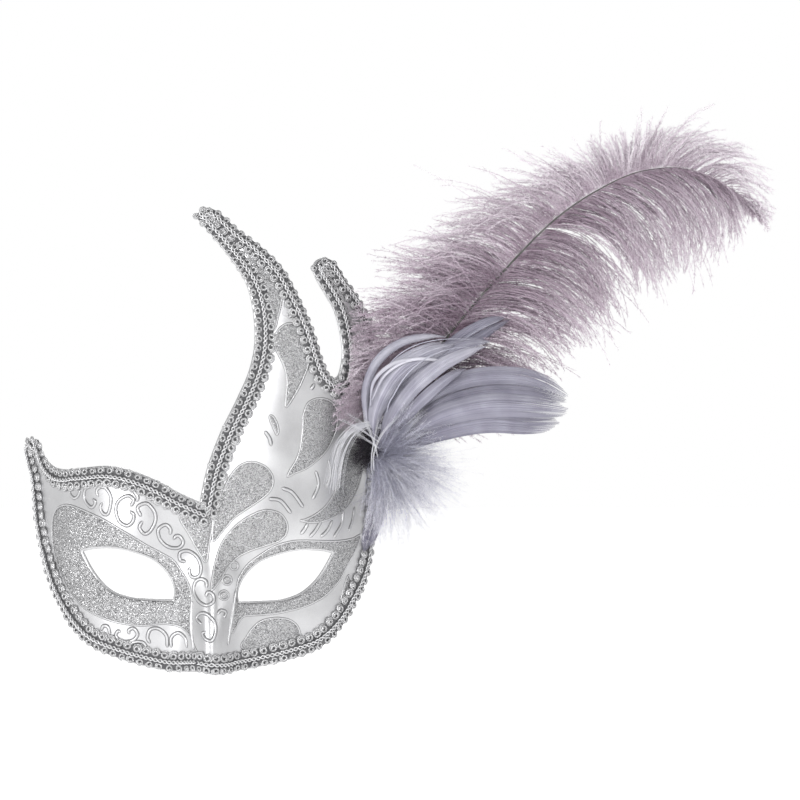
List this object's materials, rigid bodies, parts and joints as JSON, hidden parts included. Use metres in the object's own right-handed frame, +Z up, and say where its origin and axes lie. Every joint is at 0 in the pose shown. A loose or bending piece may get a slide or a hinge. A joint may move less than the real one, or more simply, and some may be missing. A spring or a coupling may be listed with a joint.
{
  "type": "venetian masquerade mask",
  "caption": "Half face mask with two eye holes, a tall flame-shaped crest, braided edges, embossed glitter scrollwork and a side spray of feathers.",
  "frame": {"origin": "the point of the shell's inner face that rests on the bridge of the nose, level with the middle of the eye holes", "axes": "+Z up, +X to the wearer's left (to the right seen from the front), +Y towards the wearer; the mask's front faces -Y"},
  "size_m": [0.3762, 0.0763, 0.2719],
  "materials": {
    "shell_paint": "pearly satin silver paint over moulded shell",
    "glitter": "silver glitter in clear glue",
    "braid_lurex": "silver-grey metallic gimp braid",
    "ostrich": "mauve ostrich flues",
    "goose": "lilac-grey goose vane",
    "marabou": "lilac-grey marabou down",
    "quill": "dark horn",
    "binding_thread": "waxed dark thread",
    "felt": "grey wool felt"
  },
  "bodies": {
    "root": {"mask_shell": "shell_paint", "brow_braid": "braid_lurex", "flame_left_braid": "braid_lurex", "flame_right_braid": "braid_lurex", "horn_inner_braid": "braid_lurex", "horn_outer_braid": "braid_lurex", "right_cheek_braid": "braid_lurex", "left_cheek_braid": "braid_lurex", "spray_pad": "felt", "quill_binding": "binding_thread", "plume_butt": "quill", "goose_quill_curled": "goose", "goose_vane_curled": "goose", "goose_quill_front": "goose", "goose_vane_front": "goose", "goose_quill_rear": "goose", "goose_vane_rear": "goose", "goose_quill_broad": "goose", "goose_vane_broad": "goose", "goose_quill_drooping": "goose", "goose_vane_drooping": "goose", "curled_strand": "goose", "marabou_tuft_lower": "marabou", "marabou_tuft_upper": "marabou", "tie_anchor_right": "felt", "tie_anchor_left": "felt"},
    "plume": {"plume_shaft": "quill", "plume_vane": "ostrich"}
  },
  "joints": [
    {"name": "plume_sway", "type": "hinge", "parent": "root", "child": "plume", "pos_m": [0.08852, 0.03931, 0.06495], "axis": [0, 1, 0], "range_deg": [-7, 7], "stiffness_Nm_per_rad": 1.2}
  ]
}
